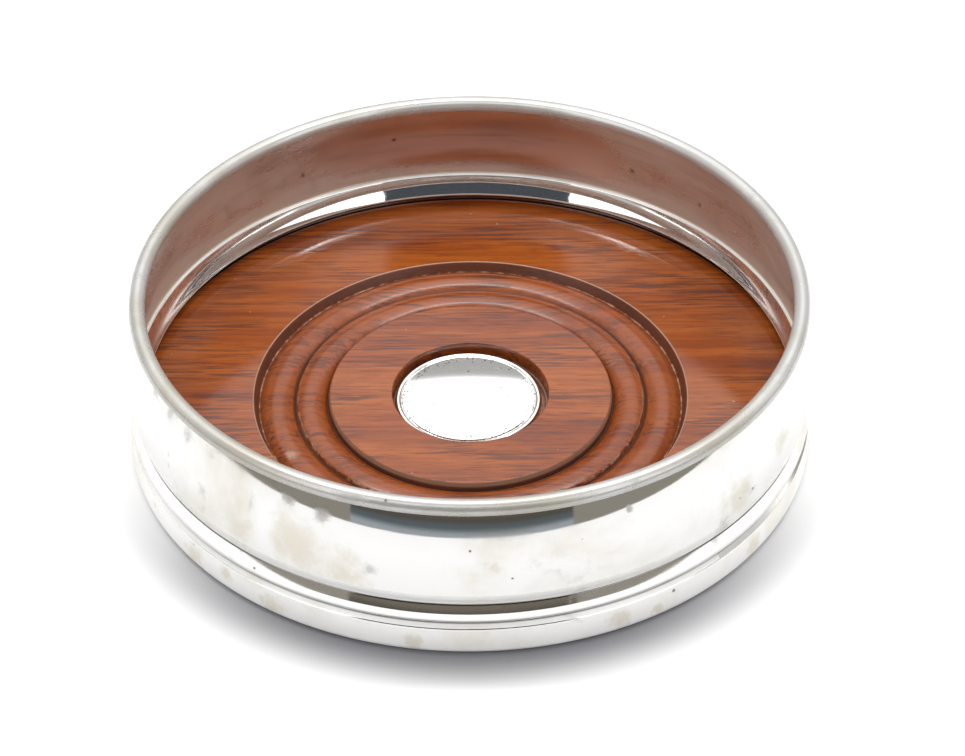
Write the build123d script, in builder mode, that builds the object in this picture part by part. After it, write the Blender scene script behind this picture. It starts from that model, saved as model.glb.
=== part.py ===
from build123d import *
from math import asin, degrees, radians, sin, tan
import os

# Wine bottle coaster: a silver gallery on a turned wooden base.
# Millimetres, +Z up. The origin is the middle of the cloth underside, on the table.
# Every ring is drawn as a section in the XZ plane and revolved about Z.

# Stack of heights, from the table up
baize_thickness = 1.0
flange_thickness = 0.6
wood_thickness = 6.4
lip_gap = 0.95
lip_height = 3.05
belly_height = 3.85
shoulder_height = 13.4

# Wooden base and its turned top
wood_radius = 62.2
wood_edge_round = 0.3
inner_disc_radius = 26.5
inner_step = 0.4
valley_radius = 32.85
outer_groove_radius = 40.8
outer_slope = 1.0
groove_depth = 2.0
reed_rise = 1.6
arris_round = 0.2

# Silver gallery wall
sheet = 0.6
belly_projection = 1.2
shoulder_inset = 2.75
turn_radius = 5.0
turn_angle = 23.0
edge_trim = 0.6
solder_gap = 0.05

# Rim wire, a round wire with a flat seat under it
rim_wire_radius = 1.5
rim_seat_drop = 0.9
rim_wire_offset = 0.65

# Foot: a bead above a bulging band, with a flange turned under the wood
wood_clearance = 0.1
groove_wall = 0.3
foot_projection = 1.9
foot_lift = 0.3
band_height = 6.85
ledge_drop = 1.1
ledge_round = 0.45
band_bulge = 0.3
band_foot_round = 1.2
bead_projection = 1.25
bead_roll_height = 1.65
bead_roll_radius = 1.8
bead_roll_angle = 16.5
bead_face_radius = 13.0
bead_face_angle = 10.0
flange_width = 5.3
flange_clearance = 0.2

# Pins that hold the flange to the wood
pin_count = 8
pin_radius = 0.6
pin_length = 4.2
pin_point = 0.3
pin_head_radius = 1.1
pin_head_angle = 90.0
pin_clearance = 0.05

# Boss in the middle, a little to the left of the centre
boss_radius = 13.85
boss_gap = 0.9
boss_shift = -0.4
boss_recess_depth = 2.8
boss_edge_thickness = 0.8
boss_crown = 0.9
boss_wire_width = 1.2
boss_wire_height = 0.55
stem_radius = 1.5
stem_clearance = 0.1
stem_head_radius = 2.4
stem_head_height = 0.5
washer_radius = 4.5
washer_thickness = 0.8
washer_clearance = 0.5
stem_foot_gap = 0.1

# Cloth pad under the base
baize_gap = 0.5

# Heights that follow from the sizes above
flange_top = baize_thickness + flange_thickness
wood_top = baize_thickness + wood_thickness
lip_bottom = wood_top + lip_gap
belly_bottom = lip_bottom + lip_height + turn_radius * sin(radians(turn_angle))
belly_top = belly_bottom + belly_height
wall_top = belly_top + shoulder_height
rim_height = wall_top + rim_seat_drop
rim_seat_angle = degrees(asin(rim_seat_drop / rim_wire_radius))
bead_bottom = foot_lift + band_height
bead_widest = bead_bottom + bead_roll_height
reed_foot = wood_top - groove_depth
reed_crest = reed_foot + reed_rise
recess_floor = wood_top - boss_recess_depth
boss_edge_top = recess_floor + boss_edge_thickness
boss_wire_top = boss_edge_top + boss_wire_height
stem_foot = baize_thickness + stem_foot_gap
washer_bottom = stem_foot + stem_head_height
washer_top = washer_bottom + washer_thickness
pin_head_height = (pin_head_radius - pin_radius) / tan(radians(pin_head_angle / 2))

# Radii that follow from the sizes above
belly_radius = wood_radius + belly_projection
neck_radius = belly_radius - shoulder_inset
rim_ring_radius = neck_radius - sheet / 2 + rim_wire_offset
foot_inner_radius = wood_radius + wood_clearance
foot_radius = wood_radius + foot_projection
bead_radius = wood_radius + bead_projection
groove_radius = foot_inner_radius + groove_wall
flange_radius = foot_inner_radius - flange_width
rebate_radius = flange_radius - flange_clearance
pin_circle_radius = (foot_inner_radius + flange_radius) / 2
pin_hole_radius = pin_radius + pin_clearance
inner_reed_start = inner_disc_radius + inner_step
outer_reed_end = outer_groove_radius - outer_slope
recess_radius = boss_radius + boss_gap
boss_wire_inner_radius = boss_radius - boss_wire_width
stem_hole_radius = stem_radius + stem_clearance
baize_radius = foot_inner_radius - baize_gap

# Level of the rim's seat, in the plane of the sections
rim_seat = Plane.XZ.offset(-wall_top)

# Underside of the base and of the rebate for the flange, looking up from the table
underside = Plane(origin=(0, 0, baize_thickness), z_dir=(0, 0, -1))
rebate = Plane(origin=(0, 0, flange_top), z_dir=(0, 0, -1))

# The boss and its fixing stand on their own axis
boss_plane = Plane(origin=(boss_shift, 0, 0), x_dir=(1, 0, 0), z_dir=(0, -1, 0))
boss_underside = Plane(origin=(boss_shift, 0, baize_thickness), z_dir=(0, 0, -1))
boss_axis = Axis((boss_shift, 0, 0), (0, 0, 1))

os.makedirs("parts", exist_ok=True)

# Outer line of the gallery wall: shoulder, belly, turn and sloping lip
with BuildLine() as wall_line:
    shoulder = TangentArc((belly_radius, belly_top), (neck_radius, wall_top + edge_trim), tangent=(0, 1))
    belly = Line((belly_radius, belly_top), (belly_radius, belly_bottom))
    turn_in = JernArc(belly @ 1, (0, -1), turn_radius, -turn_angle)
    lip = PolarLine(turn_in @ 1, -lip_height, direction=turn_in % 1, length_mode=LengthMode.VERTICAL)

# Space that the wall and its film of solder take up, filled in to the axis
with BuildSketch() as wall_space:
    with BuildLine():
        add(wall_line.line)
        Polyline(lip @ 1, (0, lip_bottom), (0, wall_top + edge_trim), shoulder @ 1)
    make_face()
    offset(amount=solder_gap)

# Gallery wall: one sheet of even thickness, cut level where the rim sits
with BuildPart() as gallery_wall:
    with BuildSketch(Plane.XZ):
        with BuildLine():
            add(wall_line.line)
            offset(amount=sheet, side=Side.RIGHT)
        make_face()
        split(bisect_by=rim_seat, keep=Keep.TOP)
    revolve(axis=Axis.Z)
gallery_wall.part.label = "gallery_wall"
export_step(gallery_wall.part, "parts/gallery_wall.step")

# Rim wire: a round wire, flat where it is soldered to the wall
with BuildPart() as rim_wire:
    with BuildSketch(Plane.XZ):
        with BuildLine():
            rim_centre = (rim_ring_radius, rim_height)
            rim_outside = CenterArc(rim_centre, rim_wire_radius, 90, -90 - rim_seat_angle)
            rim_inside = CenterArc(rim_centre, rim_wire_radius, 90, 90 + rim_seat_angle)
            Line(rim_outside @ 1, rim_inside @ 1)
        make_face()
    revolve(axis=Axis.Z)
rim_wire.part.label = "rim_wire"
export_step(rim_wire.part, "parts/rim_wire.step")

# Foot bead: a sloping face that covers the wall's turned lip, rolled under to the groove
with BuildPart() as foot_bead:
    with BuildSketch(Plane.XZ):
        with BuildLine():
            widest = (bead_radius, bead_widest)
            roll = JernArc(widest, (0, 1), bead_roll_radius, bead_roll_angle)
            face = JernArc(roll @ 1, roll % 1, bead_face_radius, bead_face_angle)
            TangentArc(widest, (groove_radius, bead_bottom), tangent=(0, -1))
            Polyline(
                (groove_radius, bead_bottom),
                (foot_inner_radius, bead_bottom),
                (foot_inner_radius, (face @ 1).Y),
                face @ 1,
            )
        make_face()
        add(wall_space.sketch, mode=Mode.SUBTRACT)
    revolve(axis=Axis.Z)
foot_bead.part.label = "foot_bead"
export_step(foot_bead.part, "parts/foot_bead.step")

# Foot band: a bulging strip with a sloping ledge on top and a flange under the wood
with BuildPart() as foot_band:
    with BuildSketch(Plane.XZ):
        with BuildLine():
            ledge_edge = (foot_radius - band_bulge, bead_bottom - ledge_drop)
            band_widest = (foot_radius, foot_lift + band_foot_round)
            band_foot = (foot_radius - band_foot_round, foot_lift)
            TangentArc(band_widest, ledge_edge, tangent=(0, 1))
            TangentArc(band_widest, band_foot, tangent=(0, -1))
            Polyline(
                band_foot,
                (foot_inner_radius, foot_lift),
                (foot_inner_radius, baize_thickness),
                (flange_radius, baize_thickness),
                (flange_radius, flange_top),
                (foot_inner_radius, flange_top),
                (foot_inner_radius, bead_bottom),
                (groove_radius, bead_bottom),
                ledge_edge,
            )
        make_face()
        fillet(vertices().sort_by_distance(ledge_edge)[0], ledge_round)
    revolve(axis=Axis.Z)
    with Locations(underside):
        with PolarLocations(pin_circle_radius, pin_count):
            CounterSinkHole(pin_hole_radius, pin_head_radius + pin_clearance, flange_thickness, pin_head_angle)
foot_band.part.label = "foot_band"
export_step(foot_band.part, "parts/foot_band.step")

# Base pins: countersunk nails through the flange into the wood
with BuildPart(Plane.XY.offset(baize_thickness)) as base_pins:
    with PolarLocations(pin_circle_radius, pin_count):
        Cylinder(pin_radius, pin_length, align=(Align.CENTER, Align.CENTER, Align.MIN))
        Cone(pin_head_radius, pin_radius, pin_head_height, align=(Align.CENTER, Align.CENTER, Align.MIN))
    chamfer(edges().group_by(Axis.Z)[-1], pin_point)
base_pins.part.label = "base_pins"
export_step(base_pins.part, "parts/base_pins.step")

# Wooden base: a flat ring, two turned reeds in a groove, and a disc with a recess for the boss
with BuildPart() as wooden_base:
    with BuildSketch(Plane.XZ):
        with BuildLine():
            Polyline(
                (0, recess_floor),
                (recess_radius, recess_floor),
                (recess_radius, wood_top),
                (inner_disc_radius, wood_top),
                (inner_reed_start, reed_foot),
            )
            for start, end in ((inner_reed_start, valley_radius), (valley_radius, outer_reed_end)):
                ThreePointArc((start, reed_foot), ((start + end) / 2, reed_crest), (end, reed_foot))
            Polyline(
                (outer_reed_end, reed_foot),
                (outer_groove_radius, wood_top),
                (wood_radius, wood_top),
                (wood_radius, flange_top),
                (rebate_radius, flange_top),
                (rebate_radius, baize_thickness),
                (0, baize_thickness),
                (0, recess_floor),
            )
        make_face()
        arrises = vertices().group_by(Axis.Y)[-1].sort_by(Axis.X)
        fillet(arrises[:-1], arris_round)
        fillet(vertices().group_by(Axis.X)[-1].sort_by(Axis.Y)[-1], wood_edge_round)
    revolve(axis=Axis.Z)
    with Locations(boss_underside):
        CounterBoreHole(stem_hole_radius, washer_radius + washer_clearance, washer_top - baize_thickness)
    with Locations(rebate):
        with PolarLocations(pin_circle_radius, pin_count):
            Hole(pin_hole_radius, pin_length - flange_thickness + pin_clearance)
wooden_base.part.label = "wooden_base"
export_step(wooden_base.part, "parts/wooden_base.step")

# Boss disc: a shallow dome with a flat edge for its rim wire
with BuildPart() as boss_disc:
    with BuildSketch(boss_plane):
        with BuildLine():
            crown = (0, boss_edge_top + boss_crown)
            dome_edge = (boss_wire_inner_radius, boss_edge_top)
            TangentArc(crown, dome_edge, tangent=(1, 0))
            Polyline(
                dome_edge,
                (boss_radius, boss_edge_top),
                (boss_radius, recess_floor),
                (0, recess_floor),
                crown,
            )
        make_face()
    revolve(axis=boss_axis)
boss_disc.part.label = "boss_disc"
export_step(boss_disc.part, "parts/boss_disc.step")

# Boss rim wire: a half-round wire on the edge of the disc
with BuildPart() as boss_rim_wire:
    with BuildSketch(boss_plane):
        with BuildLine():
            inside = (boss_wire_inner_radius, boss_edge_top)
            crest = (boss_radius - boss_wire_width / 2, boss_wire_top)
            outside = (boss_radius, boss_edge_top)
            ThreePointArc(inside, crest, outside)
            Line(outside, inside)
        make_face()
    revolve(axis=boss_axis)
boss_rim_wire.part.label = "boss_rim_wire"
export_step(boss_rim_wire.part, "parts/boss_rim_wire.step")

# Boss stem: a pin under the disc, with its end riveted over a washer
with BuildPart() as boss_stem:
    with BuildSketch(boss_plane):
        with BuildLine():
            rivet_edge = (stem_head_radius, washer_bottom)
            rivet_end = (0, stem_foot)
            Polyline(
                rivet_end,
                (0, recess_floor),
                (stem_radius, recess_floor),
                (stem_radius, washer_bottom),
                rivet_edge,
            )
            TangentArc(rivet_end, rivet_edge, tangent=(1, 0))
        make_face()
    revolve(axis=boss_axis)
boss_stem.part.label = "boss_stem"
export_step(boss_stem.part, "parts/boss_stem.step")

# Stem washer: spreads the riveted end on the wood
with BuildPart() as stem_washer:
    with BuildSketch(boss_plane):
        with Locations((stem_hole_radius, washer_bottom)):
            Rectangle(washer_radius - stem_hole_radius, washer_thickness, align=(Align.MIN, Align.MIN))
    revolve(axis=boss_axis)
stem_washer.part.label = "stem_washer"
export_step(stem_washer.part, "parts/stem_washer.step")

# Baize pad: cloth glued over the underside, inside the foot band
with BuildPart() as baize_pad:
    with BuildSketch():
        Circle(baize_radius)
    extrude(amount=baize_thickness)
baize_pad.part.label = "baize_pad"
export_step(baize_pad.part, "parts/baize_pad.step")
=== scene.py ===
from math import asin, atan2, cos, pi, radians, sin, sqrt, tan

import bpy
from bpy.props import FloatProperty, FloatVectorProperty, PointerProperty
from bpy.types import NodeSocket, Operator, Panel, PropertyGroup
from mathutils import Matrix, Vector


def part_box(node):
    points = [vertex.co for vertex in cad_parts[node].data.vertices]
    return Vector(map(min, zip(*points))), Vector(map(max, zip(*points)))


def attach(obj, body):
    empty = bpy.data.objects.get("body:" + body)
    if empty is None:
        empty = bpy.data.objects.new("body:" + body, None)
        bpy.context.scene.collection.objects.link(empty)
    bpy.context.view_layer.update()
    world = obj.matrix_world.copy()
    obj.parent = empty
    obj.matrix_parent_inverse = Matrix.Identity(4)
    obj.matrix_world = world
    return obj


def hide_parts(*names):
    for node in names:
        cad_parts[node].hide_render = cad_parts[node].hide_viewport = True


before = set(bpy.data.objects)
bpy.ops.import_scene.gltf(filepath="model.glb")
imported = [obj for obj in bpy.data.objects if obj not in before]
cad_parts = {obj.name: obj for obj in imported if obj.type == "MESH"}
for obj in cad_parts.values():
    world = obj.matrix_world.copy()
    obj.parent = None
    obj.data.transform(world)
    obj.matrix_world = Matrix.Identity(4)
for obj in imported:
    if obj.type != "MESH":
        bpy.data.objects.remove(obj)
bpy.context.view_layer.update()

bl_info = {
    "name": "Wine Bottle Coaster",
    "version": (1, 0, 0),
    "blender": (4, 5, 0),
    "location": "View3D > Sidebar > Coaster",
    "description": "Dresses the coaster: silver gallery and foot, turned wooden base, boss and baize",
    "category": "Object",
}

# Boxes of the CAD parts, in metres
WALL_LOW, WALL_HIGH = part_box("gallery_wall")
RIM_LOW, RIM_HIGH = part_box("rim_wire")
BEAD_LOW, BEAD_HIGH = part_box("foot_bead")
BAND_LOW, BAND_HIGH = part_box("foot_band")
WOOD_LOW, WOOD_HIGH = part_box("wooden_base")
BOSS_LOW, BOSS_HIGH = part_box("boss_disc")
RING_LOW, RING_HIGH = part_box("boss_rim_wire")
PAD_LOW, PAD_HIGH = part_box("baize_pad")
BODY = "root"
MM = 0.001
ORIGIN = (0.0, 0.0, 0.0)

# How finely the sections and the rings are drawn
RING_STEPS = 360
ARC_STEP = radians(2.5)
ARC_LENGTH = 0.7 * MM
MERGE_GAP = 0.001 * MM
START_SIZE = 1 * MM
SHARP_ANGLE = radians(38)
BEVEL_STEPS = 3

# Worn places: azimuth from the front in degrees, then radius, height and reach in millimetres
CREAM_SPOTS = (
    (-28, 63.4, 18.5, 12), (-20, 63.4, 15.5, 8), (-40, 63.4, 17, 8),
    (48, 63.4, 17, 8), (62, 63, 20, 5), (4, 63.2, 19.5, 3),
)
GREY_SPOTS = (
    (-65, 61.5, 28.8, 3.0), (-59, 61.6, 28.4, 3.4), (-53, 61.7, 28.0, 2.8),
    (-30, 62, 27, 2.6), (-24, 62.2, 26.5, 3.2), (26, 62.2, 26.5, 1.6),
    (-16, 63.4, 17.5, 2.4), (-58, 63.2, 20.5, 0.9), (-58, 63.3, 18, 0.9),
)
FOOT_SPOTS = (
    (-64, 64, 4, 1.4), (-51, 64, 2.5, 5.5), (-43, 64, 4, 3), (-33, 64, 2, 5),
    (-9, 64, 2.4, 3.4), (24, 64, 3, 4.5), (31, 64, 2, 2.5), (52, 64, 3.5, 4.5),
)
INNER_SPOTS = ((-148, 62.6, 20, 1.3), (149, 62.6, 20, 1.2), (134, 62.6, 19, 1.0))
WOOD_SCUFFS = ((-62, 37.5, 7, 2.2), (86, 49.5, 7.4, 0.6))
RAGGEDNESS = 1.7

# Lines per metre along X, Y and Z in the drawn-out patterns
POLISH_LINES = (60.0, 60.0, 2600.0)
HAZE_CLOUDS = (45.0, 45.0, 110.0)
HAZE_LINES = (70.0, 70.0, 900.0)
WOOD_BANDS = (14.0, 150.0, 220.0)
WOOD_STREAKS = (75.0, 1500.0, 1500.0)
WOOD_PORES = (220.0, 5200.0, 5200.0)
STREAK_CLUSTERS = (34.0, 130.0, 160.0)
CLOTH_WEFT = (900.0, 3200.0, 2000.0)
CLOTH_WARP = (3200.0, 900.0, 2000.0)

# Patches or specks per metre
FILM_CLOUDS = 38.0
SMUDGE_CLOUDS = 95.0
STAIN_CLOUDS = 130.0
SILVER_PITS = 420.0
FINE_PITS = 2600.0
INNER_PITS = 330.0
POLISH_CRUMBS = 520.0
WOOD_DUST = 560.0
VARNISH_BLOOM = 55.0
BRASS_CLOUDS = 400.0
DYE_CLOUDS = 60.0
CLOTH_LINT = 260.0

# Widths of the dark lines in the turned wood, partly old polish and partly painted shade, of the pale lines
# of dried polish, and of the painted highlights on its edges
SLOPE_DIRT_AND_SHADE = 0.9 * MM
CREVICE_DIRT_AND_SHADE = 0.55 * MM
PALE_LINE = 0.2 * MM
# Width and outward shift of the painted highlights along the wood's arrises
ARRIS_HIGHLIGHT = 0.16 * MM
ARRIS_SHIFT = 0.08 * MM

# Parts of the light tent: the setting of each, then where it begins and ends and how it rises or falls,
# first from the front (-1) to the back (1), then from the floor (0) to the top (1)
RISING = (0.0, 1.0)
FALLING = (1.0, 0.0)
TENT_PARTS = (
    ("front_light", (-0.45, -0.25, *FALLING), (0.80, 0.88, *FALLING)),
    ("back_light", (0.05, 0.50, *RISING), (0.75, 0.92, *FALLING)),
    ("top_light", (-0.12, 0.02, *RISING), (0.82, 0.88, *RISING)),
    ("seam_light", (0.30, 0.50, *RISING), (0.555, 0.575, *FALLING)),
    ("skirt_light", (0.40, 0.60, *FALLING), (0.07, 0.10, *FALLING)),
)

# The dark room in the tent's front opening, from the bottom up: the heights in metres between which
# each colour takes over from the one below
ROOM_FLOOR = (0.38, 0.42, 0.45)
ROOM_BANDS = (
    (-0.105, -0.055, (0.11, 0.135, 0.15)),
    (-0.045, -0.015, (0.10, 0.09, 0.076)),
    (-0.010, 0.030, (0.17, 0.148, 0.12)),
    (0.050, 0.120, (0.045, 0.055, 0.066)),
)


def length(name, description, millimetres):
    return FloatProperty(
        name=name, description=description, default=millimetres * MM, precision=5, unit="LENGTH"
    )


def angle(name, description, degrees):
    return FloatProperty(
        name=name, description=description, default=radians(degrees), unit="ROTATION"
    )


def brightness(name, description, default):
    return FloatProperty(name=name, description=description, default=default, min=0)


def colour(name, description, default):
    return FloatVectorProperty(
        name=name, description=description, default=default, size=3, min=0, max=1, subtype="COLOR"
    )


class GallerySizes(PropertyGroup):
    """Sizes of the silver wall and of the wire round its mouth."""

    sheet: length("Sheet", "Thickness of the silver sheet", 0.6)
    shoulder_height: length("Shoulder height", "From the belly to the rim's seat", 13.4)
    shoulder_radius: length("Shoulder radius", "Radius of the curve from belly to rim", 37.0)
    belly_height: length("Belly height", "Height of the wall's upright stretch", 3.85)
    turn_radius: length("Turn radius", "Radius of the turn from belly to lip", 5.0)
    turn_angle: angle("Turn angle", "Lean of the lip outside", 23)
    ridge_rise: length("Ridge rise", "Ridge inside above the turn outside", 0.3)
    ridge_round: length("Ridge round", "Rounding of the lip's ridge", 0.7)
    ridge_angle: angle("Ridge angle", "Lean of the lip below its ridge", 17)
    lip_radius: length("Lip radius", "Radius of the lip's hollow below the ridge", 14)
    lip_angle: angle("Lip angle", "Lean of the lip at its edge", 28)
    lip_edge: length("Lip edge", "Height of the lip's edge above its foot", 1.5)
    lip_nose: length("Lip nose", "Height of the lip's worn, blunt edge", 0.36)
    wire_radius: length("Wire radius", "Radius of the wire round the mouth", 1.5)
    dent_size: length("Dent size", "Spacing of the hammered hollows", 26)
    dent_depth: length("Dent depth", "Depth of the hammered hollows", 0.07)
    haze_reach: length("Haze reach", "Spread of the haze above the ridge", 4.6)
    haze_edge: length("Haze edge", "Spread of the haze below the rim", 5)
    # Where the painted sheen at the inner wall's left and right sides begins and where it is fullest
    side_sheen_start: length("Haze start", "From the middle to where the haze thickens", 12)
    side_sheen_end: length("Haze end", "From the middle to where the haze is thickest", 46)


class FootSizes(PropertyGroup):
    """Sizes of the bead and of the band under the wall."""

    strip: length("Strip", "Silver between wood and groove", 0.3)
    fit: length("Fit", "Gap between the wood and the foot", 0.1)
    face_inset: length("Face inset", "From the bead's widest ring in to its top", 0.75)
    crown_angle: angle("Crown angle", "Lean of the bead at its top", 50)
    crown_radius: length("Crown radius", "Radius of the bead's upper edge", 0.5)
    face_angle: angle("Face angle", "Lean of the bead where its face begins", 24)
    face_radius: length("Face radius", "Radius of the bead's sloping face", 25)
    side_angle: angle("Side angle", "Lean of the bead where its side begins", 20.5)
    side_radius: length("Side radius", "Radius of the bead's round side", 4.07)
    ledge_drop: length("Ledge drop", "Drop of the band's ledge to its edge", 1.3)
    ledge_round: length("Ledge round", "Rounding of the ledge's edge", 0.45)
    band_bulge: length("Band bulge", "Bulge of the band beyond the ledge", 0.3)
    foot_round: length("Foot round", "Rounding of the band's lower edge", 1.2)
    flange_width: length("Flange width", "Reach of the flange under the wood", 5.3)
    flange_thickness: length("Flange thickness", "Thickness of the flange", 0.6)
    # Spreads of the dark grime and painted shade at the groove and at the bead's top
    grime_and_shade_reach: length("Grime reach", "Spread of the grime at the groove", 0.9)
    crevice_reach: length("Crevice reach", "Spread of the grime at the bead's top", 0.32)


class WoodSizes(PropertyGroup):
    """Sizes of the turned top of the wooden base."""

    disc_radius: length("Disc radius", "Radius of the flat disc round the boss", 26.5)
    disc_step: length("Disc step", "Slope of the disc's side", 0.4)
    valley_radius: length("Valley radius", "Radius of the line between the reeds", 32.85)
    groove_radius: length("Groove radius", "Radius of the groove's outer edge", 40.8)
    groove_slope: length("Groove slope", "Slope of the groove's outer side", 1.0)
    groove_depth: length("Groove depth", "Depth of the groove that holds the reeds", 2.0)
    reed_radius: length("Reed radius", "Radius of the reeds' round tops", 4.5)
    quirk_width: length("Quirk width", "Width of the step between the reeds", 0.25)
    quirk_rise: length("Quirk rise", "Height of the step between the reeds", 1.0)
    arris: length("Arris", "Width of the worn edges", 0.2)
    recess_gap: length("Recess gap", "Gap round the boss", 0.9)
    rebate_gap: length("Rebate gap", "Gap round the flange's edge", 0.2)


class BossSizes(PropertyGroup):
    """Sizes of the boss in the middle."""

    wire_width: length("Wire width", "Width of the wire on the boss's edge", 1.2)
    dome_rise: length("Dome rise", "Rise of the dome to its middle", 0.5)
    dome_gap: length("Dome gap", "Width of the groove between dome and wire", 0.3)
    speckled: length("Speckled", "Radius from which the boss is pitted", 10.3)


class Finishes(PropertyGroup):
    """Colours of the silver, the wood, the brass and the baize."""

    silver: colour("Silver", "Clean silver", (0.94, 0.935, 0.92))
    film: colour("Film", "Yellow-grey tarnish film", (0.78, 0.74, 0.65))
    smudge: colour("Smudge", "Grey tarnish", (0.45, 0.44, 0.42))
    # Also the colour of the painted shade in the silver's grooves
    pit_and_shade: colour("Pit", "Black specks in the silver", (0.10, 0.09, 0.08))
    # Also the colour of the painted sheen at the inner wall's left and right sides
    dust_and_highlight: colour("Dust", "Grey-beige haze inside the wall", (0.58, 0.45, 0.355))
    wood_light: colour("Light wood", "Wood between the streaks", (0.345, 0.084, 0.011))
    # Also laid over the turned groove as painted shade
    wood_deep_and_shade: colour("Deep wood", "Broad bands of redder wood", (0.22, 0.042, 0.005))
    wood_streak: colour("Wood streaks", "Purple-brown pore streaks", (0.085, 0.022, 0.012))
    # Dark old polish in the crevices, which also serves as painted shade there
    dirt_and_shade: colour("Dirt", "Old polish in the crevices", (0.055, 0.017, 0.009))
    # Also the colour of the painted highlights on the wood's arrises
    residue_and_highlight: colour("Residue", "Dried polish in the turned lines", (0.50, 0.34, 0.24))
    brass: colour("Brass", "Plain brass", (0.72, 0.52, 0.24))
    baize: colour("Baize", "Green wool cloth", (0.030, 0.125, 0.055))


class StudioSettings(PropertyGroup):
    """The camera, the floor and the soft light round the coaster."""

    elevation: angle("Elevation", "The camera's angle above the floor", 38.79)
    roll: angle("Roll", "The camera's turn about its line of sight", -0.32)
    distance: length("Distance", "From the camera to its aim", 599)
    aim_height: length("Aim height", "Height of the camera's aim", 15.15)
    slide_right: length("Slide right", "Shift of the camera to its right", 2.31)
    slide_up: length("Slide up", "Shift of the camera upwards", -3.55)
    lens: FloatProperty(name="Lens", description="Focal length", default=119.5, unit="CAMERA")
    floor_radius: length("Floor radius", "Radius of the pale floor", 250)
    floor_front: length("Floor front", "From the axis to the floor's front edge", 160)
    floor_gap: length("Floor gap", "From the cloth pad down to the floor", 0.02)
    # Reach of the shadow painted on the floor in front of the coaster
    shadow_reach: length("Shadow reach", "Radius of the shadow in front", 75)
    opening_left: length("Opening left", "Left edge of the front opening", -415)
    opening_right: length("Opening right", "Right edge of the front opening", 341)
    opening_bottom: length("Opening bottom", "Lower edge of the front opening", -150)
    opening_top: length("Opening top", "Upper edge of the front opening", 540)
    opening_distance: length("Opening distance", "From the axis to the opening", 600)
    tent_light: brightness("Tent light", "Brightness of the tent's cloth", 0.65)
    front_light: brightness("Front light", "Brightness round the opening", 1.9)
    back_light: brightness("Back light", "Brightness of the tent's back", 1.7)
    top_light: brightness("Top light", "Brightness of the lamp cloth above", 2.9)
    seam_light: brightness("Seam light", "Brightness low down behind", 0.42)
    skirt_light: brightness("Skirt light", "Brightness of the tent's low edge", 0.3)
    key_power: FloatProperty(name="Key power", description="Power of the strip", default=0.65, unit="POWER")
    key_height: length("Key height", "Height of the strip light", 450)
    key_back: length("Key back", "From the axis back to the strip light", 65)
    key_length: length("Key length", "Length of the strip light", 500)
    key_width: length("Key width", "Width of the strip light", 30)
    tent_tint: colour("Tent tint", "Colour of the tent's light", (1.0, 0.995, 0.985))
    skirt_tint: colour("Skirt tint", "Colour of the tent's low edge", (1.0, 0.94, 0.80))
    floor_white: colour("Floor", "Pale floor", (0.87, 0.87, 0.88))
    # Colour of the shadow painted on the floor in front of the coaster
    floor_shadow: colour("Floor shadow", "Floor right in front of the coaster", (0.27, 0.27, 0.29))


class Profile:
    """A section drawn in the XZ plane with edit-mode tools and spun into a ring."""

    def __init__(self, name, x, z):
        bpy.ops.object.select_all(action="DESELECT")
        bpy.ops.mesh.primitive_plane_add(size=START_SIZE)
        self.piece = bpy.context.object
        self.piece.name = name
        self.piece.data.name = name
        self.point = Vector((x, 0, z))
        bpy.ops.object.mode_set(mode="EDIT")
        bpy.ops.mesh.merge(type="CENTER")
        bpy.ops.transform.translate(value=self.point)

    def line(self, x, z):
        """Extrudes a straight run to a point."""
        goal = Vector((x, 0, z))
        bpy.ops.mesh.extrude_region_move(TRANSFORM_OT_translate={"value": goal - self.point})
        self.point = goal

    def arc(self, x, z, turn):
        """Spins a round run about a centre. A positive turn goes from +X towards +Z."""
        centre = Vector((x, 0, z))
        arm = self.point - centre
        steps = max(2, round(abs(turn) / ARC_STEP), round(abs(turn) * arm.length / ARC_LENGTH))
        bpy.ops.mesh.spin(steps=steps, angle=turn, center=centre, axis=(0, 1, 0))
        self.point = centre + Matrix.Rotation(-turn, 3, "Y") @ arm

    def bow(self, x, z, radius):
        """Spins a round run outwards to a point, over the top of a circle of the given radius."""
        chord = Vector((x, 0, z)) - self.point
        half = chord.length / 2
        down = Vector((chord.z, 0, -chord.x)).normalized()
        centre = self.point + chord / 2 + down * sqrt(radius * radius - half * half)
        self.arc(centre.x, centre.z, -2 * asin(half / radius))

    def spin(self, axis_x=0.0):
        """Spins the whole section about an upright axis and closes the mesh."""
        bpy.ops.mesh.select_all(action="SELECT")
        bpy.ops.mesh.spin(
            steps=RING_STEPS, angle=2 * pi, center=(axis_x, 0, 0), axis=(0, 0, 1), use_auto_merge=True
        )
        bpy.ops.mesh.select_all(action="SELECT")
        bpy.ops.mesh.remove_doubles(threshold=MERGE_GAP)
        bpy.ops.mesh.normals_make_consistent(inside=False)
        bpy.ops.object.mode_set(mode="OBJECT")
        return self.piece


def soften(piece, width):
    """Rounds the sharp edges of the active piece."""
    bpy.ops.object.mode_set(mode="EDIT")
    bpy.ops.mesh.select_mode(type="EDGE")
    bpy.ops.mesh.select_all(action="DESELECT")
    bpy.ops.mesh.edges_select_sharp(sharpness=SHARP_ANGLE)
    bpy.ops.mesh.bevel(offset=width, segments=BEVEL_STEPS, affect="EDGES")
    bpy.ops.mesh.select_mode(type="VERT")
    bpy.ops.object.mode_set(mode="OBJECT")
    return piece


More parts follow.
